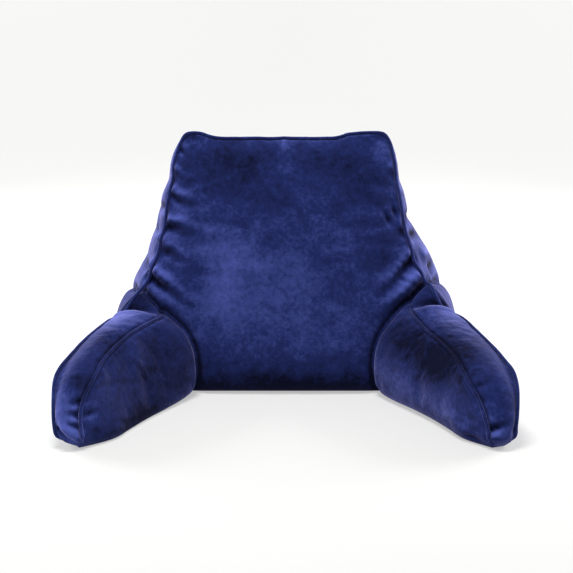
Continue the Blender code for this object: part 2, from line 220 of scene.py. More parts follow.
# The join: how far beside it the skins turn in, and the backrest's share of the arms' depth.
JOIN_REACH_ON_BACKREST = 0.007
JOIN_REACH_ON_ARM = 0.008
JOIN_SHARE_OF_BACKREST = 0.7
JOIN_FLOOR_REACH = 0.01
FOLD_COLUMNS = ("start", "end", "width", "height")
BACKREST_FOLDS = (
    # The left side of the front panel: folds that fan out from the piping.
    ((-0.208, 0.122, 0.410), (-0.170, 0.106, 0.384), 0.0050, 0.0063),
    ((-0.214, 0.115, 0.371), (-0.160, 0.098, 0.348), 0.0055, 0.0081),
    ((-0.216, 0.112, 0.358), (-0.172, 0.095, 0.333), 0.0055, -0.0072),
    ((-0.214, 0.097, 0.318), (-0.135, 0.078, 0.296), 0.0055, 0.0090),
    ((-0.224, 0.098, 0.298), (-0.150, 0.078, 0.278), 0.0055, -0.0081),
    ((-0.234, 0.102, 0.280), (-0.180, 0.074, 0.254), 0.0055, 0.0099),
    ((-0.242, 0.098, 0.262), (-0.170, 0.066, 0.232), 0.0060, -0.0072),
    ((-0.254, 0.094, 0.232), (-0.168, 0.053, 0.170), 0.0070, 0.0144),
    ((-0.262, 0.094, 0.214), (-0.172, 0.050, 0.156), 0.0080, -0.0144),
    ((-0.196, 0.126, 0.440), (-0.180, 0.120, 0.424), 0.0045, -0.0054),
    # The right side of the front panel.
    ((0.190, 0.092, 0.312), (0.174, 0.095, 0.340), 0.0040, -0.0063),
    ((0.203, 0.099, 0.322), (0.194, 0.102, 0.352), 0.0040, -0.0063),
    ((0.214, 0.098, 0.311), (0.203, 0.094, 0.302), 0.0055, 0.0070),
    ((0.226, 0.095, 0.291), (0.198, 0.088, 0.283), 0.0075, -0.0085),
    ((0.232, 0.088, 0.256), (0.168, 0.052, 0.190), 0.0060, 0.0090),
    ((0.238, 0.088, 0.240), (0.178, 0.048, 0.185), 0.0085, -0.0130),
    ((0.250, 0.086, 0.217), (0.158, 0.036, 0.148), 0.0065, 0.0105),
    ((0.220, 0.070, 0.208), (0.182, 0.050, 0.178), 0.0045, -0.0070),
    ((0.254, 0.080, 0.191), (0.184, 0.040, 0.142), 0.0070, -0.0090),
    ((0.206, 0.125, 0.424), (0.180, 0.110, 0.392), 0.0055, 0.0054),
    # The top: one pucker in the middle, and the nicks inside the corner lobes.
    ((-0.003, 0.134, 0.461), (-0.003, 0.106, 0.422), 0.0035, 0.0045),
    ((-0.139, 0.165, 0.468), (-0.130, 0.132, 0.461), 0.0055, -0.0090),
    ((0.100, 0.165, 0.468), (0.092, 0.135, 0.461), 0.0055, -0.0081),
    # The side bands: the filling pushes out between tucks.
    ((-0.222, 0.120, 0.332), (-0.232, 0.210, 0.322), 0.0070, -0.0090),
    ((-0.238, 0.131, 0.290), (-0.252, 0.215, 0.280), 0.0070, -0.0081),
    ((-0.262, 0.119, 0.222), (-0.288, 0.210, 0.232), 0.0080, -0.0108),
    ((0.224, 0.107, 0.309), (0.250, 0.210, 0.316), 0.0070, -0.0108),
    ((0.237, 0.115, 0.284), (0.276, 0.210, 0.268), 0.0070, -0.0108),
    ((0.277, 0.128, 0.214), (0.305, 0.210, 0.222), 0.0070, -0.0144),
    ((0.264, 0.125, 0.247), (0.292, 0.200, 0.250), 0.0090, 0.0108),
)
ARM_FOLDS = {
    "left": (
        # The band bulges over the crease behind it.
        ((-0.304, 0.042, 0.152), (-0.224, 0.044, 0.152), 0.0060, -0.0100),
        ((-0.304, 0.018, 0.156), (-0.224, 0.022, 0.152), 0.0120, 0.0070),
        # Gathers across the band's front end, beside its inner seam.
        ((-0.327, -0.236, 0.074), (-0.352, -0.244, 0.077), 0.0034, -0.0095),
        ((-0.329, -0.242, 0.055), (-0.356, -0.250, 0.061), 0.0036, -0.0110),
        ((-0.330, -0.247, 0.038), (-0.350, -0.252, 0.044), 0.0032, -0.0070),
        ((-0.328, -0.238, 0.064), (-0.350, -0.246, 0.069), 0.0036, 0.0030),
        ((-0.330, -0.244, 0.047), (-0.352, -0.250, 0.052), 0.0036, 0.0030),
        ((-0.320, -0.230, 0.054), (-0.292, -0.214, 0.054), 0.0040, -0.0060),
        # A tuck at the tip.
        ((-0.362, -0.244, 0.032), (-0.334, -0.252, 0.010), 0.0048, -0.0180),
        ((-0.350, -0.250, 0.038), (-0.326, -0.252, 0.020), 0.0060, 0.0060),
        # Soft drapes on the inner panel.
        ((-0.262, -0.080, 0.125), (-0.256, -0.125, 0.020), 0.0160, 0.0045),
        ((-0.230, -0.020, 0.125), (-0.222, -0.070, 0.020), 0.0160, -0.0035),
    ),
    "right": (
        ((0.300, 0.044, 0.166), (0.214, 0.042, 0.162), 0.0060, -0.0120),
        ((0.304, 0.020, 0.166), (0.216, 0.018, 0.158), 0.0120, 0.0070),
        # The crease and the dimples near the tip.
        ((0.328, -0.242, 0.033), (0.354, -0.252, 0.047), 0.0042, -0.0150),
        ((0.304, -0.214, 0.040), (0.298, -0.214, 0.034), 0.0060, -0.0100),
        ((0.300, -0.218, 0.008), (0.326, -0.236, 0.006), 0.0050, -0.0110),
        ((0.368, -0.236, 0.040), (0.356, -0.246, 0.016), 0.0038, -0.0100),
        ((0.336, -0.246, 0.022), (0.352, -0.248, 0.032), 0.0060, 0.0020),
        # Short gathers along the inner seam.
        ((0.310, -0.214, 0.096), (0.336, -0.220, 0.100), 0.0050, -0.0030),
        ((0.312, -0.226, 0.074), (0.340, -0.234, 0.078), 0.0050, -0.0030),
        # Long soft drapes on the inner panel, down and towards the root.
        ((0.236, -0.044, 0.138), (0.222, -0.064, 0.020), 0.0080, -0.0024),
        ((0.250, -0.080, 0.134), (0.238, -0.104, 0.020), 0.0090, 0.0020),
        ((0.206, 0.010, 0.130), (0.194, 0.004, 0.020), 0.0070, -0.0030),
    ),
}

# Painted light from above: the upper flank of a fold is painted lighter and the lower one darker.
PAINTED_LIGHT_ON_FLANKS = 2.2
# Painted shade in a fold's valley and a painted highlight on its ridge, by this much for each metre.
PAINTED_LIGHT_IN_FOLDS = 70.0
# Painted shade beside the seams, most of all in the crease where an arm is sewn to the backrest, and a
# little over the whole of each cord.
SEAM_SHADE = 0.25
SEAM_SHADE_REACH = 0.006
JOIN_SHADE = 1.30
JOIN_SHADE_REACH = 0.0035
CORD_SHADE = 0.10
# Below this height the piping of an arm's front end runs into the skin.
CORD_SINK_HEIGHT = 0.022
# Everywhere it also varies a little by chance: over what size, and by how much.
NAP_CHANCE = (0.045, 0.16)
# Patches where the pile lies down or stands up, and where shade or highlights are painted: places, how far
# each reaches, and its lift from -1, dark, to 1.
NAP_COLUMNS = ("place", "reach", "lift")
BACKREST_NAP_AND_LIGHT = (
    ((-0.105, 0.120, 0.425), (0.070, 0.200, 0.040), -0.75),
    ((-0.050, 0.110, 0.370), (0.060, 0.200, 0.030), -0.45),
    ((0.075, 0.110, 0.420), (0.080, 0.200, 0.030), -0.60),
    ((0.150, 0.110, 0.370), (0.050, 0.200, 0.045), -0.40),
    ((0.175, 0.130, 0.440), (0.020, 0.200, 0.030), 0.50),
    ((-0.150, 0.130, 0.450), (0.040, 0.200, 0.010), 0.50),
    ((0.000, 0.130, 0.455), (0.090, 0.200, 0.010), 0.30),
    ((0.000, 0.110, 0.430), (0.018, 0.200, 0.040), 0.35),
    ((-0.110, 0.080, 0.250), (0.060, 0.200, 0.060), 0.75),
    ((-0.120, 0.060, 0.170), (0.070, 0.200, 0.050), 0.65),
    ((0.020, 0.060, 0.220), (0.100, 0.200, 0.080), 0.30),
    ((0.030, 0.050, 0.120), (0.120, 0.200, 0.050), 0.30),
    ((0.215, 0.080, 0.220), (0.035, 0.200, 0.040), 0.50),
    ((0.180, 0.070, 0.260), (0.030, 0.200, 0.030), -0.45),
    ((-0.170, 0.070, 0.215), (0.030, 0.200, 0.022), -0.45),
    # Painted shade along the foot of the front panel, between the arms.
    ((0.000, 0.030, 0.000), (0.300, 0.200, 0.042), -1.70),
)
ARM_NAP_AND_LIGHT = {
    "left": (
        # Darker on the inner panel, on the band's top and high on its front end; a painted highlight on
        # the band just before its crease and painted shade in the crease behind it; painted highlights
        # lower on the front end and at the tip; painted shade along the foot and on the outer panel behind
        # the crease.
        ((-0.230, -0.060, 0.080), (0.100, 0.140, 0.090), -0.80),
        ((-0.300, -0.120, 0.150), (0.050, 0.060, 0.030), -0.25),
        ((-0.290, -0.010, 0.160), (0.055, 0.045, 0.032), 1.30),
        ((-0.270, 0.060, 0.170), (0.040, 0.022, 0.030), -0.70),
        ((-0.330, -0.215, 0.105), (0.022, 0.040, 0.028), -0.70),
        ((-0.354, -0.245, 0.058), (0.020, 0.040, 0.045), 1.30),
        ((-0.332, -0.250, 0.022), (0.018, 0.030, 0.018), 1.00),
        ((-0.250, -0.150, 0.010), (0.120, 0.100, 0.025), -0.90),
        ((-0.310, 0.120, 0.120), (0.040, 0.080, 0.060), -0.50),
    ),
    "right": (
        # Darker high on the inner panel, on the band's top and on its front end; painted highlights low on
        # the inner panel, on the band just before its crease and at the tip; painted shade in the crease
        # behind the band, along the foot and on the outer panel behind the crease.
        ((0.265, -0.110, 0.110), (0.060, 0.100, 0.045), -1.40),
        ((0.195, -0.020, 0.120), (0.050, 0.060, 0.045), -0.90),
        ((0.210, -0.030, 0.045), (0.050, 0.060, 0.045), 0.60),
        ((0.260, -0.160, 0.040), (0.040, 0.050, 0.030), 0.40),
        ((0.290, -0.010, 0.165), (0.050, 0.035, 0.025), 0.50),
        ((0.265, 0.060, 0.180), (0.040, 0.022, 0.030), -0.40),
        ((0.330, -0.150, 0.150), (0.040, 0.050, 0.030), -0.40),
        ((0.340, -0.220, 0.090), (0.030, 0.040, 0.030), -0.20),
        ((0.345, -0.245, 0.030), (0.030, 0.040, 0.025), 0.20),
        ((0.250, -0.150, 0.006), (0.120, 0.100, 0.018), -0.70),
        ((0.315, 0.120, 0.130), (0.040, 0.080, 0.060), -0.40),
    ),
}

# Start numbers of the noise on each cushion and cord.
BACKREST_SEED = 1
ARM_SEED = 11
PIPING_SEED = 31

# Where the velvet's base colour lies between deep, 0, and lit, 1, and how much the attribute for the pile
# and for painted light and shade moves it.
BASE_STOP = 0.45
NAP_AND_LIGHT_IN_COLOUR = 0.30
# The velvet's brushed patches and the finer marks inside them: their size and how much each one shows.
MILLIMETRE = 0.001
MARK_COLUMNS = ("size_mm", "roughness", "distortion", "amount")
VELVET_MARKS = (
    (45, 0.62, 0.6, 0.42),
    (8, 0.65, 0.4, 0.55),
)
# Sizes of its crumpled backing, and of the pile and the height of its relief, on the cushions and on the
# cord. The last one is the fibre of the floor's card.
CRUMPLE_MM = 14
CUSHION_PILE_MM = 1.6
CUSHION_RELIEF_MM = 0.7
CORD_PILE_MM = 1.2
CORD_RELIEF_MM = 0.4
CARD_FIBRE_MM = 4

# The stage: a round floor that curves up into a wall, and large soft lights with their settings' names.
FLOOR_RADIUS = 4.0
FLOOR_CURVE = 1.5
FLOOR_CURVE_START = 0.12
FLOOR_CURVE_STEPS = 12
WALL_HEIGHT = 4.0
FLOOR_SIDES = 64
FLOOR_DROP = 0.0002
GLOW_FROM_Y = -1.0
GLOW_TO_Y = 1.2
LIT_POINT = Vector((0, 0, 0.15))
LIGHT_COLUMNS = ("name", "place", "size", "power")
LIGHTS = (
    ("key_light", (-0.3, -0.5, 2.6), (0.9, 0.7), "key_power"),
    ("left_light", (-2.0, 1.0, 0.9), (1.2, 1.2), "fill_power"),
    ("right_light", (2.0, 1.0, 0.9), (1.2, 1.2), "fill_power"),
)

# The seams of each finished cushion, for the piping: places with their ways outwards.
SEAM_POINTS = {}


def linear(hex_colour):
    """An sRGB hex colour as linear numbers with alpha."""
    channels = [int(hex_colour[n:n + 2], 16) / 255 for n in (1, 3, 5)]
    return tuple(c / 12.92 if c <= 0.04045 else ((c + 0.055) / 1.055) ** 2.4 for c in channels) + (1.0,)


# ---------------------------------------------------------------- settings
class CushionSettings(bpy.types.PropertyGroup):
    """How the cushions are meshed, filled and creased."""

    cell: FloatProperty(
        name="Grid cell", description="Spacing of the cloth's grid before it is smoothed",
        default=0.006, min=0.003, max=0.02, subtype="DISTANCE", unit="LENGTH",
    )
    pressure: FloatProperty(
        name="Filling pressure", description="How hard the filling pushes on the cover",
        default=4.0, min=0.0,
    )
    frames: IntProperty(name="Filling steps", description="Steps of the simulation", default=20, min=2)
    fullness_of_cloth: FloatProperty(
        name="Gathering", description="Share of spare cloth sewn into the seams",
        default=0.05, min=0.0, max=0.2,
    )
    swell: FloatProperty(
        name="Swell", description="The most that the filling may move the form as a whole",
        default=0.002, min=0.0, subtype="DISTANCE", unit="LENGTH",
    )
    pucker: FloatProperty(
        name="Pucker", description="The most that a pucker may stand out or in",
        default=0.006, min=0.0, subtype="DISTANCE", unit="LENGTH",
    )
    crease: FloatProperty(
        name="Seam crease", description="How deep a cushion is drawn in at its seams",
        default=0.0034, min=0.0, subtype="DISTANCE", unit="LENGTH",
    )
    join_crease: FloatProperty(
        name="Join crease", description="How far both skins turn in where an arm meets the backrest",
        default=0.0070, min=0.0, subtype="DISTANCE", unit="LENGTH",
    )


class PipingSettings(bpy.types.PropertyGroup):
    """The covered cord in the seams."""

    radius: FloatProperty(
        name="Radius", description="Radius of the covered cord",
        default=0.0030, min=0.001, max=0.01, subtype="DISTANCE", unit="LENGTH",
    )
    sunk: FloatProperty(
        name="Sunk share", description="Share of the radius that sits between the panels",
        default=0.15, min=0.0, max=1.0,
    )
    waviness: FloatProperty(
        name="Waviness", description="How far the cord wanders from a true line",
        default=0.0010, min=0.0, subtype="DISTANCE", unit="LENGTH",
    )


class VelvetSettings(bpy.types.PropertyGroup):
    """The velvet's colours, from the pile lying flat to the pile catching the light; deep and lit also
    serve as painted shade and painted highlights.
    """

    deep: FloatVectorProperty(
        name="Deep", description="Colour where the pile swallows the light", subtype="COLOR", size=3,
        default=linear("#090C24")[:3], min=0, max=1,
    )
    base: FloatVectorProperty(
        name="Base", description="Colour of most of the cloth", subtype="COLOR", size=3,
        default=linear("#1C275B")[:3], min=0, max=1,
    )
    lit: FloatVectorProperty(
        name="Lit", description="Colour where the pile stands towards the light", subtype="COLOR", size=3,
        default=linear("#4A56A2")[:3], min=0, max=1,
    )


class StageSettings(bpy.types.PropertyGroup):
    """The floor and the light."""

    key_power: FloatProperty(
        name="Key light", description="Power of the large soft light",
        default=60.0, min=0, unit="POWER",
    )
    fill_power: FloatProperty(
        name="Fill light", description="Power of the lights at the sides",
        default=65.0, min=0, unit="POWER",
    )
    room: FloatProperty(
        name="Room light", description="Strength of the light from all round", default=0.25, min=0,
    )
    glow_front: FloatProperty(
        name="Front glow", description="Own light of the backdrop before the pillow", default=0.28, min=0,
    )
    glow_back: FloatProperty(
        name="Back glow", description="Own light of the backdrop behind the pillow", default=0.66, min=0,
    )


# ---------------------------------------------------------------- small tools
def table(columns, rows):
    """The rows as dictionaries."""
    return [dict(zip(columns, row)) for row in rows]


def sections(columns, rows):
    """The rows as dictionaries, in the order of their first column."""
    return sorted(table(columns, rows), key=lambda row: row[columns[0]])


BACKREST = sections(BACKREST_COLUMNS, BACKREST_ROWS)
ARM = sections(ARM_COLUMNS, ARM_ROWS)


def smooth_value(rows, key, at, column):
    """A column's value at a place between the rows, along a smooth curve through them."""
    at = min(max(at, rows[0][key]), rows[-1][key])
    i = next(n for n in range(len(rows) - 1) if at <= rows[n + 1][key])
    before, low, high, after = (rows[min(max(n, 0), len(rows) - 1)] for n in range(i - 1, i + 3))
    span = high[key] - low[key]
    u = (at - low[key]) / span
    slope_low = (high[column] - before[column]) / (high[key] - before[key]) * span
    slope_high = (after[column] - low[column]) / (after[key] - low[key]) * span
    return (
        (2 * u**3 - 3 * u**2 + 1) * low[column]
        + (u**3 - 2 * u**2 + u) * slope_low
        + (3 * u**2 - 2 * u**3) * high[column]
        + (u**3 - u**2) * slope_high
    )


def mix(a, b, share):
    return a + (b - a) * share


def steps(start, end, count):
    return [mix(start, end, n / count) for n in range(count + 1)]


def falloff(distance, reach):
    """1 on the spot and fading smoothly to nothing, with about a third left one reach away."""
    return np.exp(-((distance / reach) ** 2))


def new_object(name, data):
    """An object with its data, in the scene."""
    solid = bpy.data.objects.new(name, data)
    bpy.context.scene.collection.objects.link(solid)
    return solid


def crowded(u):
    """Moves evenly spaced places from 0 to 1 towards both ends, where the seams are."""
    return u - SEAM_CROWDING * math.sin(2 * math.pi * u) / (2 * math.pi)


def fullness(u, fill):
    """The filled height of a panel, 1 in its middle and 0 at the seams, where u is -1 or 1."""
    flatness, edge = fill
    return max(1 - abs(u) ** flatness, 0.0) ** edge


def rolled_under(height):
    """How far the skin is drawn in at a height above the floor."""
    return ROLL_UNDER_INSET * max(1 - height / ROLL_UNDER_HEIGHT, 0.0) ** 2


def rounded_corner(u, v, power):
    """A place in the square from 0 to 1, moved so that the square's corner at (1, 1) becomes round."""
    if min(u, v) <= 0:
        return u, v
    shrink = max(u, v) / (u**power + v**power) ** (1 / power)
    return u * shrink, v * shrink


# ---------------------------------------------------------------- the cushions' forms
def place_on_backrest(across, back, up):
    """A point of the backrest, each share from 0 to 1: left to right, front to back, floor to top."""
    across, back, up = 2 * crowded(across) - 1, crowded(back), crowded(up)
    side_name = "left" if across < 0 else "right"
    s, h = abs(across), up
    round_from = 1 - BACKREST[-1]["front_left"] / TOP_SEAM_HEIGHT
    if h > round_from:
        s, v = rounded_corner(s, (h - round_from) / (1 - round_from), TOP_CORNER_ROUNDING)
        h = mix(round_from, 1, v)
    z = TOP_SEAM_HEIGHT * h
    front_half = smooth_value(BACKREST, "height", z, f"front_{side_name}")
    back_half = smooth_value(BACKREST, "height", z, f"back_{side_name}")
    x = s * mix(front_half, back_half, back)
    y = mix(FRONT_FOOT_Y + FRONT_LEAN * z, BACK_PANEL_Y, back)

    across_fill = fullness(across, ROUND_FILL)
    up_fill = fullness(2 * up - 1, LONG_FILL)
    depth_fill = fullness(2 * back - 1, ROUND_FILL)
    if back == 0:
        y -= FRONT_CROWN * across_fill * up_fill
    if back == 1:
        y += BACK_CROWN * across_fill * up_fill
    if abs(across) == 1:
        x += SIDE_CROWN * depth_fill * up_fill
    if up == 1:
        z += TOP_CROWN * depth_fill * across_fill
    high = max(2 * up - 1, 0)
    lobe = min(max((x - LOBE_START[side_name]) / LOBE_SLOPE, 0), 1)
    z += high * (TOP_RISE + TOP_CORNER_LIFT * abs(across) ** TOP_CORNER_LIFT_POWER)
    z -= high * TOP_BACK_DROP * back**2
    z += high**3 * LOBE_RISE * lobe**2 * (3 - 2 * lobe)

    inset = rolled_under(z)
    x -= inset * s
    y += inset * (1 - 2 * back)
    return Vector((SIDES[side_name] * x, y, z))


def place_on_arm(side_name, across, along, up):
    """A point of an arm, each share from 0 to 1: inner to outer panel, root to end, floor to band."""
    across, up = 2 * crowded(across) - 1, crowded(up)
    root_y, end_y = ARM[-1]["y"], ARM[0]["y"]
    reach, h = 0.0, up
    if along <= ROOT_SHARE:
        y = mix(root_y, CREASE_Y, along / ROOT_SHARE)
    else:
        reach, h = rounded_corner((along - ROOT_SHARE) / (1 - ROOT_SHARE), up, ARM_END_ROUNDING)
        y = mix(CREASE_Y, end_y, reach)
    here = {column: smooth_value(ARM, "y", y, column) for column in ARM_COLUMNS[1:]}
    crest = here["crest"] + here["outer_rise"] * (across + 1) / 2
    crest += REAR_LIFT[side_name] * falloff(max(REAR_LIFT_Y - y, 0), REAR_LIFT_REACH)
    z = crest * h

    low = (1 - h) ** 3
    shift = mix(INNER_SEAM_SHIFT[side_name], INNER_FOOT_SHIFT[side_name], low)
    shift *= min(reach / SHIFT_REACH, 1) * (1 - low * reach**8)
    inner = mix(here["inner_foot"], here["inner_seam"], h) + shift
    outer = mix(here["outer_foot"], here["outer_seam"], h)
    outer += OUTER_SEAM_SHIFT[side_name] * falloff(y - CREASE_Y, OUTER_SHIFT_REACH) * h
    if abs(across) == 1:
        belly = fullness(max(reach, h), ARM_PANEL_FILL) * (1 - low)
        inner -= here["inner_crown"] * belly
        outer += here["outer_crown"] * belly

    inset = rolled_under(z)
    inner += inset
    outer -= inset + TIP_TUCK[side_name] * max(1 - z / TIP_TUCK_HEIGHT, 0) ** 2 * reach**6
    y += inset * reach**6 - END_SLANT * reach**6 * (1 - h) * (1 - across) / 2
    point = Vector((mix(inner, outer, (across + 1) / 2), y, z))
    if along == 1 or up == 1:
        forwards = reach ** (ARM_END_ROUNDING - 1) / (CREASE_Y - end_y)
        upwards = h ** (ARM_END_ROUNDING - 1) / crest
        filled = min(BAND_AT_CREASE + reach / BAND_FILL_REACH, 1) * min(z / ROLL_UNDER_HEIGHT, 1)
        crown = BAND_CROWN * fullness(across, BAND_FILL) * filled
        point += Vector((0, -forwards, upwards)).normalized() * crown
    point.x *= SIDES[side_name]
    return point


def skin_grid(name, cells, place):
    """A closed grid over a box's six faces, with every point moved to its place on the cushion."""
    corners, points, faces = {}, [], []

    def index(i, j, k):
        key = (i, j, k)
        if key not in corners:
            corners[key] = len(points)
            points.append(place(i / cells[0], j / cells[1], k / cells[2]))
        return corners[key]

    for axis in range(3):
        u_axis, v_axis = (axis + 1) % 3, (axis + 2) % 3
        for end in (0, cells[axis]):
            for u in range(cells[u_axis]):
                for v in range(cells[v_axis]):
                    ring = []
                    for du, dv in ((0, 0), (1, 0), (1, 1), (0, 1)):
                        at = [0, 0, 0]
                        at[axis], at[u_axis], at[v_axis] = end, u + du, v + dv
                        ring.append(index(*at))
                    faces.append(ring if end else ring[::-1])
    mesh = bpy.data.meshes.new(name)
    mesh.from_pydata(points, [], faces)
    grid = bmesh.new()
    grid.from_mesh(mesh)
    bmesh.ops.recalc_face_normals(grid, faces=grid.faces)
    grid.to_mesh(mesh)
    grid.free()
    return mesh, list(corners)


def sewn_on_backrest(key, cells):
    """All twelve edges of the backrest's box are seams."""
    return sum(k in (0, c) for k, c in zip(key, cells)) >= 2


def sewn_on_arm(key, cells):
    """An arm's band runs on over its front end, so the edge between them is no seam."""
    (i, j, k), (across, along, up) = key, cells
    at_side = i in (0, across)
    return (at_side and (j == along or k == up)) or (k == 0 and (at_side or j == along))


def seam_distances(keys, cells, places, sewn):
    """How far each point is from the nearest seam."""
    on_seam = [p for key, p in zip(keys, places) if sewn(key, cells)]
    tree = KDTree(len(on_seam))
    for n, p in enumerate(on_seam):
        tree.insert(p, n)
    tree.balance()
    return np.array([tree.find(p)[2] for p in places])


def read_vectors(items, key):
    flat = np.empty(len(items) * 3)
    items.foreach_get(key, flat)
    return flat.reshape(-1, 3)


def read_points(mesh):
    return read_vectors(mesh.vertices, "co")


def read_normals(mesh):
    return read_vectors(mesh.vertex_normals, "vector")


def write_points(mesh, places):
    mesh.vertices.foreach_set("co", np.asarray(places).ravel())
    mesh.update()


def write_on_floor(mesh, places):
    """Writes the points, none of them below the floor."""
    places[:, 2] = np.maximum(places[:, 2], 0.0)
    write_points(mesh, places)


def evened(mesh, values, rounds):
    """The values averaged again and again with their neighbours' along the edges."""
    pairs = np.empty(len(mesh.edges) * 2, int)
    mesh.edges.foreach_get("vertices", pairs)
    a, b = pairs.reshape(-1, 2).T
    count = np.bincount(a, minlength=len(values)) + np.bincount(b, minlength=len(values))
    for _ in range(rounds):
        total = np.zeros_like(values)
        np.add.at(total, a, values[b])
        np.add.at(total, b, values[a])
        values = (values + total / count[:, None]) / 2
    return values


def limited(moves, most):
    """The moves, eased so that none is longer than the most."""
    length = np.linalg.norm(moves, axis=1, keepdims=True)
    return moves * (most / (most + length)) if most else moves * 0


def held_group(solid, name, weights):
    group = solid.vertex_groups.new(name=name)
    for n, weight in enumerate(weights):
        group.add([n], float(weight), "REPLACE")
    return group.name


def filled(solid, from_seam, cushion):
    """Fills the cover by a cloth simulation with pressure, and returns its points before and after."""
    before = read_points(solid.data)
    held = np.clip(1 - from_seam / SEWN_REACH, 0, 1)
    held = np.maximum(held, np.clip(1 - before[:, 2] / FOOT_REACH, 0, 1))
    spare = np.clip(1 - from_seam / SPARE_REACH, 0, 1)
    modifier = solid.modifiers.new("filling", "CLOTH")
    cloth = modifier.settings
    for key, value in CLOTH.items():
        setattr(cloth, key, value)
    cloth.vertex_group_mass = held_group(solid, "sewn", held)
    cloth.vertex_group_shrink = held_group(solid, "spare", spare)
    cloth.shrink_max = -cushion.fullness_of_cloth
    cloth.use_pressure = True
    cloth.uniform_pressure_force = cushion.pressure
    cloth.effector_weights.gravity = 0
    modifier.collision_settings.use_collision = False
    modifier.point_cache.frame_start = 1
    modifier.point_cache.frame_end = cushion.frames
    for step in range(1, cushion.frames + 1):
        bpy.context.scene.frame_set(step)
    graph = bpy.context.evaluated_depsgraph_get()
    after = read_points(solid.evaluated_get(graph).to_mesh())
    solid.modifiers.remove(modifier)
    solid.vertex_groups.clear()
    bpy.context.scene.frame_set(1)
    return before, after


def fold_move(places, normals, fold):
    """How far a fold moves each place outwards; its line need only lie near the skin, not in it."""
    start, end = np.array(fold["start"]), np.array(fold["end"])
    along = end - start
    share = np.clip(((places - start) @ along) / (along @ along), 0, 1)
    away = places - start - share[:, None] * along
    off = (away * normals).sum(axis=1)
    gap = np.linalg.norm(away - normals * off[:, None], axis=1)
    fade = 1 - FOLD_FADE * share**2 * (3 - 2 * share)
    return fold["height"] * fade * falloff(gap, fold["width"]) * falloff(off, FOLD_LINE_REACH)


def wavy(places, scale, seed):
    """Smooth noise from -1 to 1 with features of about the given size."""
    shift = Vector((seed * 7.3, seed * 3.1, seed * 5.7))
    return np.array([noise.noise(Vector(p) / scale + shift) for p in places])


def nap_and_light_of(places, patches, seed):
    """How the pile lies at each place, with the painted shade and highlights among the patches, from -1
    for dark to 1 for light.
    """
    nap = np.zeros(len(places))
    for patch in table(NAP_COLUMNS, patches):
        away = (places - np.array(patch["place"])) / np.array(patch["reach"])
        nap += patch["lift"] * np.exp(-(away**2).sum(axis=1))
    scale, amount = NAP_CHANCE
    return nap + amount * wavy(places, scale, seed)


def add_attribute(mesh, name, values):
    attribute = mesh.attributes.new(name, "FLOAT", "POINT")
    attribute.data.foreach_set("value", np.asarray(values, np.float32))


def read_attribute(mesh, name):
    values = np.empty(len(mesh.vertices), np.float32)
    mesh.attributes[name].data.foreach_get("value", values)
    return values


def make_cushion(name, cells, place, sewn, folds, patches, cushion, seed):
    """One filled cushion as an object: sewn, filled, creased and smoothed, with attributes for its pile's
    lie and for painted light and shade.

    Its seams are kept in SEAM_POINTS, each place with the way outwards, for the piping.
    """
    mesh, keys = skin_grid(name, cells, place)
    solid = new_object(name, mesh)
    places = read_points(mesh)
    from_seam = seam_distances(keys, cells, places, sewn)
    before, after = filled(solid, from_seam, cushion)
    moves = after - before
    swell = evened(mesh, moves, SWELL_ROUNDS)
    places = before + limited(swell, cushion.swell) + limited(moves - swell, cushion.pucker)
    write_points(mesh, places)
    normals = evened(mesh, read_normals(mesh), OUTWARDS_ROUNDS)
    normals /= np.linalg.norm(normals, axis=1, keepdims=True)
    move = np.zeros(len(places))
    for fold in table(FOLD_COLUMNS, folds):
        move += fold_move(places, normals, fold)
    move *= 1 - SEAM_HOLD * falloff(from_seam, SEAM_HOLD_REACH)
    move -= cushion.crease * falloff(from_seam, SEAM_CREASE_REACH)
    for step, (scale, amount) in enumerate(UNEVENNESS):
        move += amount * wavy(places, scale, seed + step)
    above_floor = np.clip(places[:, 2] / FLOOR_REACH, 0, 1)
    write_on_floor(mesh, places + normals * (move * above_floor)[:, None])
    # A mask for the painted shade beside the seams, carried through the smoothing.
    add_attribute(mesh, "seam", falloff(from_seam, SEAM_SHADE_REACH))

    smooth = solid.modifiers.new("smooth", "SUBSURF")
    smooth.levels = smooth.render_levels = 1
    finished(solid)
    write_on_floor(solid.data, read_points(solid.data))
    places, outwards = read_points(solid.data), read_normals(solid.data)
    # Painted light from above: skin that turns up more than its surroundings is painted lighter and skin
    # that turns down darker; fold valleys are painted darker and ridges lighter, and shade is painted
    # beside the seams.
    flanks = (outwards - evened(solid.data, outwards, FLANK_ROUNDS))[:, 2]
    nap = nap_and_light_of(places, patches, seed + 2) + PAINTED_LIGHT_ON_FLANKS * flanks
    for fold in table(FOLD_COLUMNS, folds):
        nap += PAINTED_LIGHT_IN_FOLDS * fold_move(places, outwards, fold)
    add_attribute(solid.data, "nap", nap - SEAM_SHADE * read_attribute(solid.data, "seam"))
    solid.data.shade_smooth()
    SEAM_POINTS[name] = {
        key: (Vector(places[n]), Vector(outwards[n])) for n, key in enumerate(keys) if sewn(key, cells)
    }
    return solid


def finished(solid):
    """Turns the object's modifiers into its plain mesh."""
    graph = bpy.context.evaluated_depsgraph_get()
    mesh = bpy.data.meshes.new_from_object(solid.evaluated_get(graph))
    solid.modifiers.clear()
    old, solid.data = solid.data, mesh
    bpy.data.meshes.remove(old)
    solid.data.name = solid.name


def cells_for(lengths, cell):
    """Grid cells for a box of these side lengths."""
    return tuple(max(round(length / cell), 4) for length in lengths)


# ---------------------------------------------------------------- materials
def add_node(tree, kind, links=(), **settings):
    """A node with its settings; each link is (socket of the new node, value or socket that feeds it)."""
    node = tree.nodes.new(kind)
    for key, value in settings.items():
        setattr(node, key, value)
    for socket, feed in links:
        if isinstance(feed, bpy.types.NodeSocket):
            tree.links.new(feed, node.inputs[socket])
        else:
            node.inputs[socket].default_value = feed
    return node


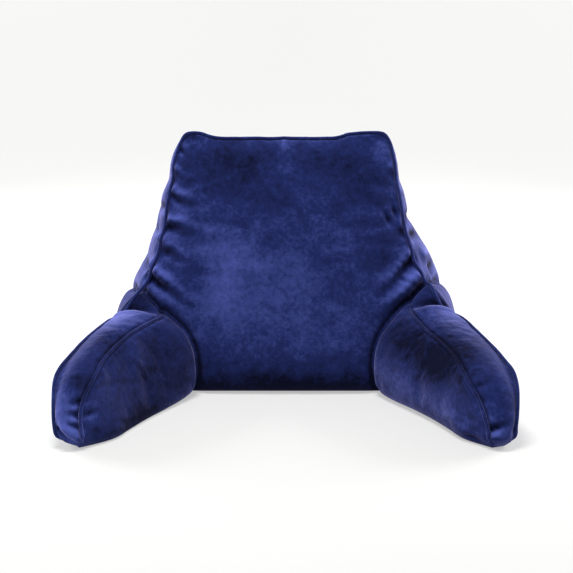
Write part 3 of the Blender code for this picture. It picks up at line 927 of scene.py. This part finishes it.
def velvet_material(name, velvet, pile_mm, relief_mm):
    """Polyester velvet, short woven pile: matt and dark face on, with a pale bloom at grazing angles."""
    relief = relief_mm * MILLIMETRE
    material = bpy.data.materials.new(name)
    material.use_nodes = True
    tree = material.node_tree
    shader = tree.nodes["Principled BSDF"]
    coordinates = add_node(tree, "ShaderNodeTexCoord").outputs["Object"]
    nap = add_node(tree, "ShaderNodeAttribute", attribute_name="nap").outputs["Fac"]

    # How the pile lies, together with the painted shade and highlights in the same attribute, picks the
    # colour, varied by brushed patches and by finer marks inside them.
    pile_and_light = add_node(
        tree, "ShaderNodeMath", [(0, nap), (1, NAP_AND_LIGHT_IN_COLOUR), (2, BASE_STOP)], operation="MULTIPLY_ADD",
    ).outputs[0]
    for mark in table(MARK_COLUMNS, VELVET_MARKS):
        brushed = add_node(
            tree, "ShaderNodeTexNoise",
            [
                ("Vector", coordinates), ("Scale", 1 / (mark["size_mm"] * MILLIMETRE)), ("Detail", 5.0),
                ("Roughness", mark["roughness"]), ("Distortion", mark["distortion"]),
            ],
        ).outputs["Fac"]
        centred = add_node(
            tree, "ShaderNodeMath", [(0, brushed), (1, 0.5)], operation="SUBTRACT",
        ).outputs[0]
        pile_and_light = add_node(
            tree, "ShaderNodeMath", [(0, centred), (1, mark["amount"]), (2, pile_and_light)],
            operation="MULTIPLY_ADD",
        ).outputs[0]
    ramp = add_node(tree, "ShaderNodeValToRGB", [("Fac", pile_and_light)])
    stops = ramp.color_ramp.elements
    stops[0].position, stops[0].color = 0.10, (*velvet.deep, 1)
    stops[1].position, stops[1].color = 0.95, (*velvet.lit, 1)
    middle = stops.new(BASE_STOP)
    middle.color = (*velvet.base, 1)
    tree.links.new(ramp.outputs["Color"], shader.inputs["Base Color"])
    # The sheen follows the same attribute: pile that lies down blooms less, and so does painted shade,
    # while painted highlights bloom more.
    bloom = add_node(
        tree, "ShaderNodeMapRange",
        [("Value", nap), ("From Min", -1.2), ("From Max", 0.6), ("To Min", 0.12), ("To Max", 1.0)],
    ).outputs["Result"]
    tree.links.new(bloom, shader.inputs["Sheen Weight"])

    # The pile itself is finer than the picture shows, so it is drawn at this coarser size.
    pile = add_node(
        tree, "ShaderNodeTexNoise",
        [
            ("Vector", coordinates), ("Scale", 1 / (pile_mm * MILLIMETRE)), ("Detail", 3.0),
            ("Roughness", 0.7),
        ],
    ).outputs["Fac"]
    crumple = add_node(
        tree, "ShaderNodeTexNoise",
        [
            ("Vector", coordinates), ("Scale", 1 / (CRUMPLE_MM * MILLIMETRE)), ("Detail", 2.0),
            ("Roughness", 0.5), ("Distortion", 1.2),
        ],
    ).outputs["Fac"]
    soft = add_node(
        tree, "ShaderNodeBump", [("Height", crumple), ("Strength", 0.5), ("Distance", relief * 3)],
    ).outputs["Normal"]
    bump = add_node(
        tree, "ShaderNodeBump",
        [("Height", pile), ("Strength", 0.6), ("Distance", relief), ("Normal", soft)],
    ).outputs["Normal"]
    tree.links.new(bump, shader.inputs["Normal"])

    shader.inputs["Metallic"].default_value = 0.0
    shader.inputs["Roughness"].default_value = 0.9
    shader.inputs["Specular IOR Level"].default_value = 0.05
    shader.inputs["Sheen Roughness"].default_value = 0.38
    shader.inputs["Sheen Tint"].default_value = linear("#A6A4E6")
    return material


def floor_material(glow_front, glow_back):
    """Smooth white card: matt, so that it only takes the pillow's soft shadow, with a glow of its own."""
    material = bpy.data.materials.new("white_card")
    material.use_nodes = True
    tree = material.node_tree
    shader = tree.nodes["Principled BSDF"]
    coordinates = add_node(tree, "ShaderNodeTexCoord").outputs["Object"]
    fibre = add_node(
        tree, "ShaderNodeTexNoise",
        [("Vector", coordinates), ("Scale", 1 / (CARD_FIBRE_MM * MILLIMETRE)), ("Detail", 2.0)],
    ).outputs["Fac"]
    ramp = add_node(tree, "ShaderNodeValToRGB", [("Fac", fibre)])
    ramp.color_ramp.elements[0].color = linear("#A5A5A3")
    ramp.color_ramp.elements[1].color = linear("#A9A9A7")
    tree.links.new(ramp.outputs["Color"], shader.inputs["Base Color"])
    # The card glows more behind the pillow than in front, so that it stays white there.
    y = add_node(tree, "ShaderNodeSeparateXYZ", [("Vector", coordinates)]).outputs["Y"]
    glow = add_node(
        tree, "ShaderNodeMapRange",
        [
            ("Value", y), ("From Min", GLOW_FROM_Y), ("From Max", GLOW_TO_Y),
            ("To Min", glow_front), ("To Max", glow_back),
        ],
        interpolation_type="SMOOTHSTEP",
    ).outputs["Result"]
    tree.links.new(glow, shader.inputs["Emission Strength"])
    shader.inputs["Emission Color"].default_value = linear("#FFFFFF")
    shader.inputs["Roughness"].default_value = 0.9
    shader.inputs["Specular IOR Level"].default_value = 0.1
    return material


# ---------------------------------------------------------------- joins and piping
def skin_tree(solid):
    mesh = solid.data
    return BVHTree.FromPolygons(
        [v.co for v in mesh.vertices], [tuple(p.vertices) for p in mesh.polygons],
    )


def is_inside(point, tree):
    """Whether a ray from the point meets the closed skin an odd number of times."""
    hits, start = 0, point
    while True:
        place = tree.ray_cast(start, PROBE_DIRECTION)[0]
        if place is None:
            return hits % 2 == 1
        hits += 1
        start = place + PROBE_DIRECTION * PROBE_SKIP


def outside_by(point, tree):
    """How far a point stands outside a skin, negative inside it, and the nearest place on the skin."""
    near, _, _, gap = tree.find_nearest(point)
    return (-gap if is_inside(point, tree) else gap), near


def clear_of(tree, points, distance):
    """The points that stand more than the distance outside a skin."""
    return [point for point in points if outside_by(point, tree)[0] > distance]


def turned_in(solid, tree, most, reach):
    """Draws a skin in along the line where it meets another, and paints shade into that crease."""
    mesh = solid.data
    places, normals = read_points(mesh), evened(mesh, read_normals(mesh), JOIN_ROUNDS)
    nap = read_attribute(mesh, "nap")
    for n, point in enumerate(places):
        near, _, _, gap = tree.find_nearest(Vector(point), reach * 3)
        if near is not None:
            places[n] -= normals[n] * most * falloff(gap, reach) * min(point[2] / JOIN_FLOOR_REACH, 1)
            nap[n] -= JOIN_SHADE * falloff(gap, JOIN_SHADE_REACH)
    write_points(mesh, places)
    mesh.attributes["nap"].data.foreach_set("value", nap)


def evenly_spaced(points, step):
    """Points along a polyline, about one step apart, with its two ends kept."""
    lengths = [(b - a).length for a, b in zip(points, points[1:])]
    count = max(round(sum(lengths) / step), 2)
    spaced, walked, i = [points[0]], 0.0, 0
    for n in range(1, count):
        target = sum(lengths) * n / count
        while walked + lengths[i] < target:
            walked += lengths[i]
            i += 1
        spaced.append(points[i].lerp(points[i + 1], (target - walked) / lengths[i]))
    return spaced + [points[-1]]


def seam_run(name, keys, distance):
    """The piping's centre line along a cushion's seam, that far outside it."""
    seams = SEAM_POINTS[name]
    return [seams[key][0] + seams[key][1] * distance for key in keys]


def arm_seam(side_name, at_outer, distance):
    """The piping from the arm's root over its end and down, at its inner or outer panel."""
    name = f"arm_cover_{side_name}"
    across, along, up = (max(axis) for axis in zip(*SEAM_POINTS[name]))
    i = across if at_outer else 0
    keys = [(i, j, up) for j in range(along + 1)] + [(i, along, k) for k in range(up - 1, -1, -1)]
    run = seam_run(name, keys, distance)
    return [point for point in run if point.z > PIPING_FOOT_HEIGHT and point.y < JUNCTION_Y]


def backrest_seam(distance):
    """The front panel's piping from above the left arm over the top to above the right arm."""
    name = "backrest_cover"
    across, _, up = (max(axis) for axis in zip(*SEAM_POINTS[name]))
    keys = [(0, 0, k) for k in range(up)] + [(i, 0, up) for i in range(across + 1)]
    keys += [(across, 0, k) for k in range(up - 1, -1, -1)]
    return [point for point in seam_run(name, keys, distance) if point.z > JUNCTION_HEIGHT]


def laid_on(points, trees, distance):
    """The points, eased into an even curve and kept the distance off each skin."""
    for _ in range(4):
        middle = [(a + 2 * b + c) / 4 for a, b, c in zip(points, points[1:], points[2:])]
        points = [points[0], *middle, points[-1]]
        for n, point in enumerate(points):
            for tree in trees:
                gap, near = outside_by(point, tree)
                if gap < distance:
                    point = near + math.copysign(distance, gap) * (point - near).normalized()
            points[n] = point
    return points


def sunk_at_foot(point, trees, radius):
    """The point, drawn into the nearest skin where the cord runs under the tip of an arm."""
    gap, near = min((outside_by(point, tree) for tree in trees), key=lambda found: abs(found[0]))
    depth = 3 * radius * max(1 - point.z / CORD_SINK_HEIGHT, 0)
    return point.lerp(near, depth / gap) if gap > 0 else point


def piping_tree(material):
    """Geometry Nodes that sweep a covered cord along a path, with named sizes."""
    tree = bpy.data.node_groups.new("covered_cord", "GeometryNodeTree")
    face = tree.interface
    face.new_socket("Geometry", in_out="INPUT", socket_type="NodeSocketGeometry")
    for label in ("Radius", "Waviness", "Wave length"):
        face.new_socket(label, in_out="INPUT", socket_type="NodeSocketFloat")
    face.new_socket("Geometry", in_out="OUTPUT", socket_type="NodeSocketGeometry")
    given = tree.nodes.new("NodeGroupInput")
    result = tree.nodes.new("NodeGroupOutput")
    spaced = add_node(
        tree, "GeometryNodeResampleCurve",
        [("Curve", given.outputs["Geometry"]), ("Length", PIPING_STEP / 2)], mode="LENGTH",
    )
    place = add_node(tree, "GeometryNodeInputPosition").outputs[0]
    per_length = add_node(
        tree, "ShaderNodeMath", [(0, 1.0), (1, given.outputs["Wave length"])], operation="DIVIDE",
    ).outputs[0]
    wander = add_node(
        tree, "ShaderNodeTexNoise", [("Vector", place), ("Scale", per_length), ("Detail", 1.0)],
    ).outputs["Color"]
    centred = add_node(
        tree, "ShaderNodeVectorMath", [(0, wander), (1, (0.5, 0.5, 0.5))], operation="SUBTRACT",
    ).outputs[0]
    offset = add_node(tree, "ShaderNodeVectorMath", [(0, centred)], operation="SCALE")
    tree.links.new(given.outputs["Waviness"], offset.inputs["Scale"])
    moved = add_node(
        tree, "GeometryNodeSetPosition",
        [("Geometry", spaced.outputs["Curve"]), ("Offset", offset.outputs[0])],
    )
    ring = add_node(
        tree, "GeometryNodeCurvePrimitiveCircle",
        [("Resolution", PIPING_SIDES), ("Radius", given.outputs["Radius"])],
    )
    cord = add_node(
        tree, "GeometryNodeCurveToMesh",
        [
            ("Curve", moved.outputs["Geometry"]), ("Profile Curve", ring.outputs["Curve"]),
            ("Fill Caps", True),
        ],
    )
    smooth = add_node(tree, "GeometryNodeSetShadeSmooth", [("Geometry", cord.outputs["Mesh"])])
    real = add_node(tree, "GeometryNodeRealizeInstances", [("Geometry", smooth.outputs["Geometry"])])
    dressed = add_node(
        tree, "GeometryNodeSetMaterial", [("Geometry", real.outputs["Geometry"]), ("Material", material)],
    )
    tree.links.new(dressed.outputs["Geometry"], result.inputs["Geometry"])
    return tree


def make_piping(name, points, tree, piping):
    """One run of piping, swept along its points."""
    path = bpy.data.curves.new(name, "CURVE")
    path.dimensions = "3D"
    run = path.splines.new("POLY")
    run.points.add(len(points) - 1)
    for knot, point in zip(run.points, points):
        knot.co = (*point, 1)
    line = new_object(f"{name}_path", path)
    sweep = line.modifiers.new("covered_cord", "NODES")
    sweep.node_group = tree
    sizes = {"Radius": piping.radius, "Waviness": piping.waviness, "Wave length": WAVE_LENGTH}
    for item in tree.interface.items_tree:
        if item.in_out == "INPUT" and item.name in sizes:
            sweep[item.identifier] = sizes[item.name]
    graph = bpy.context.evaluated_depsgraph_get()
    mesh = bpy.data.meshes.new_from_object(line.evaluated_get(graph))
    bpy.data.objects.remove(line)
    mesh.name = name
    return new_object(name, mesh)


# ---------------------------------------------------------------- operators
def piece(name):
    """A finished piece by name, or an error that says it is missing."""
    found = bpy.data.objects.get(name)
    if found is None:
        raise RuntimeError(f"{name} isn't made yet")
    return found


class PILLOW_OT_backrest(bpy.types.Operator):
    """Make the filled backrest"""

    bl_idname = "pillow.backrest"
    bl_label = "Backrest"

    def execute(self, context):
        cushion, velvet = context.scene.pillow_cushion, context.scene.pillow_velvet
        solid = make_cushion(
            "backrest_cover", cells_for(BACKREST_LENGTHS, cushion.cell),
            place_on_backrest, sewn_on_backrest,
            BACKREST_FOLDS, BACKREST_NAP_AND_LIGHT, cushion, BACKREST_SEED,
        )
        solid.data.materials.append(
            velvet_material("polyester_velvet", velvet, CUSHION_PILE_MM, CUSHION_RELIEF_MM),
        )
        return {"FINISHED"}


class PILLOW_OT_arms(bpy.types.Operator):
    """Make the two filled arms and crease them to the backrest"""

    bl_idname = "pillow.arms"
    bl_label = "Arms"

    def execute(self, context):
        cushion = context.scene.pillow_cushion
        backrest = piece("backrest_cover")
        velvet = backrest.data.materials[0]
        arms = []
        for seed, side_name in enumerate(SIDES, ARM_SEED):
            arms.append(make_cushion(
                f"arm_cover_{side_name}", cells_for(ARM_LENGTHS, cushion.cell),
                partial(place_on_arm, side_name), sewn_on_arm,
                ARM_FOLDS[side_name], ARM_NAP_AND_LIGHT[side_name], cushion, seed,
            ))
        # Each skin's tree is made before that skin moves, so that both turn in along the same line.
        tree = skin_tree(backrest)
        on_backrest = cushion.join_crease * JOIN_SHARE_OF_BACKREST
        for arm in arms:
            turned_in(backrest, skin_tree(arm), on_backrest, JOIN_REACH_ON_BACKREST)
        for arm in arms:
            turned_in(arm, tree, cushion.join_crease, JOIN_REACH_ON_ARM)
            arm.data.materials.append(velvet)
        for solid, node in ((backrest, "backrest"), (arms[0], "arm_left"), (arms[1], "arm_right")):
            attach(solid, BODY)
            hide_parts(node)
        return {"FINISHED"}


class PILLOW_OT_piping(bpy.types.Operator):
    """Lay the piping in the seams"""

    bl_idname = "pillow.piping"
    bl_label = "Piping"

    def execute(self, context):
        piping = context.scene.pillow_piping
        off = piping.radius * (1 - piping.sunk)
        names = ("backrest_cover", "arm_cover_left", "arm_cover_right")
        trees = [skin_tree(piece(name)) for name in names]
        velvet = context.scene.pillow_velvet
        sweep = piping_tree(velvet_material("piping_velvet", velvet, CORD_PILE_MM, CORD_RELIEF_MM))
        runs, patches, outer = {}, {}, {}
        for side_name in SIDES:
            node = f"piping_inner_{side_name}"
            inner = clear_of(trees[0], arm_seam(side_name, False, off), off)
            outer[side_name] = clear_of(trees[0], arm_seam(side_name, True, off), off)
            runs[node] = [p for p in inner if p.y < CREASE_Y + INNER_PIPING_PAST_CREASE]
            patches[node] = ARM_NAP_AND_LIGHT[side_name]
        runs["piping_outer"] = outer["left"][::-1] + backrest_seam(off) + outer["right"]
        for seed, (node, points) in enumerate(runs.items(), PIPING_SEED):
            laid = laid_on(evenly_spaced(points, PIPING_STEP), trees, off)
            laid = [sunk_at_foot(point, trees, piping.radius) for point in laid]
            cord = make_piping(f"{node}_cord", laid, sweep, piping)
            # The inner cords take their arm's patches of pile and of painted light and shade, and every
            # cord is painted a little darker all over.
            nap = nap_and_light_of(read_points(cord.data), patches.get(node, ()), seed)
            add_attribute(cord.data, "nap", nap - CORD_SHADE)
            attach(cord, BODY)
            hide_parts(node)
        return {"FINISHED"}


def make_floor():
    """A round floor that curves up into a wall on every side."""
    profile = [(FLOOR_RADIUS, 0.0)]
    for a in steps(FLOOR_CURVE_START, math.pi / 2, FLOOR_CURVE_STEPS):
        profile.append((FLOOR_RADIUS + FLOOR_CURVE * math.sin(a), FLOOR_CURVE * (1 - math.cos(a))))
    profile.append((FLOOR_RADIUS + FLOOR_CURVE, WALL_HEIGHT))
    points, faces = [Vector((0, 0, -FLOOR_DROP))], []
    for radius, height in profile:
        for n in range(FLOOR_SIDES):
            a = 2 * math.pi * n / FLOOR_SIDES
            points.append(Vector((radius * math.cos(a), radius * math.sin(a), height - FLOOR_DROP)))
    for n in range(FLOOR_SIDES):
        m = (n + 1) % FLOOR_SIDES
        faces.append((0, 1 + n, 1 + m))
        for ring in range(len(profile) - 1):
            a, b = 1 + ring * FLOOR_SIDES, 1 + (ring + 1) * FLOOR_SIDES
            faces.append((a + n, b + n, b + m, a + m))
    mesh = bpy.data.meshes.new("floor")
    mesh.from_pydata(points, [], faces)
    mesh.shade_smooth()
    return new_object("floor", mesh)


def soft_light(name, place, size, power):
    """A large soft light that looks at the pillow."""
    light = bpy.data.lights.new(name, "AREA")
    light.shape = "RECTANGLE"
    light.size, light.size_y = size
    light.energy = power
    lamp = new_object(name, light)
    lamp.location = place
    lamp.rotation_euler = (LIT_POINT - Vector(place)).to_track_quat("-Z", "Y").to_euler()


def make_camera():
    """The camera, placed so that the pillow looks as it does in the photograph."""
    camera = bpy.data.cameras.new("camera")
    camera.sensor_width = SENSOR_MM
    camera.lens = FOCAL_PIXELS / IMAGE_WIDTH * SENSOR_MM
    camera.shift_x = CAMERA_SHIFT_PIXELS / IMAGE_WIDTH
    stand = new_object("camera", camera)
    stand.location = CAMERA_PLACE
    stand.rotation_euler = (math.radians(CAMERA_TILT_DEG), 0, 0)
    return stand


class PILLOW_OT_stage(bpy.types.Operator):
    """Set up the floor, the light and the camera"""

    bl_idname = "pillow.stage"
    bl_label = "Stage"

    def execute(self, context):
        stage = context.scene.pillow_stage
        floor = make_floor()
        floor.data.materials.append(floor_material(stage.glow_front, stage.glow_back))

        world = bpy.data.worlds.new("studio")
        world.use_nodes = True
        background = world.node_tree.nodes["Background"]
        background.inputs["Color"].default_value = linear("#FFFFFF")
        background.inputs["Strength"].default_value = stage.room
        context.scene.world = world
        context.scene.view_settings.view_transform = "Standard"
        for light in table(LIGHT_COLUMNS, LIGHTS):
            soft_light(light["name"], light["place"], light["size"], getattr(stage, light["power"]))
        context.scene.camera = make_camera()
        return {"FINISHED"}


class PILLOW_PT_panel(bpy.types.Panel):
    """The pillow's settings and the steps that make it"""

    bl_idname = "PILLOW_PT_panel"
    bl_label = "Reading pillow"
    bl_space_type = "VIEW_3D"
    bl_region_type = "UI"
    bl_category = "Pillow"

    def draw(self, context):
        for name in SETTINGS:
            settings = getattr(context.scene, name)
            box = self.layout.box()
            for key in settings.bl_rna.properties.keys():
                if key not in ("rna_type", "name"):
                    box.prop(settings, key)
        for step in STEPS:
            self.layout.operator(step.bl_idname)


SETTINGS = {
    "pillow_cushion": CushionSettings,
    "pillow_piping": PipingSettings,
    "pillow_velvet": VelvetSettings,
    "pillow_stage": StageSettings,
}
STEPS = (PILLOW_OT_backrest, PILLOW_OT_arms, PILLOW_OT_piping, PILLOW_OT_stage)
CLASSES = (*SETTINGS.values(), *STEPS, PILLOW_PT_panel)


def register():
    for kind in CLASSES:
        bpy.utils.register_class(kind)
    for name, kind in SETTINGS.items():
        setattr(bpy.types.Scene, name, PointerProperty(type=kind))


def unregister():
    for name in SETTINGS:
        delattr(bpy.types.Scene, name)
    for kind in reversed(CLASSES):
        bpy.utils.unregister_class(kind)


def main():
    register()
    bpy.ops.pillow.stage()
    bpy.ops.pillow.backrest()
    bpy.ops.pillow.arms()
    bpy.ops.pillow.piping()


if __name__ == "__main__":
    main()
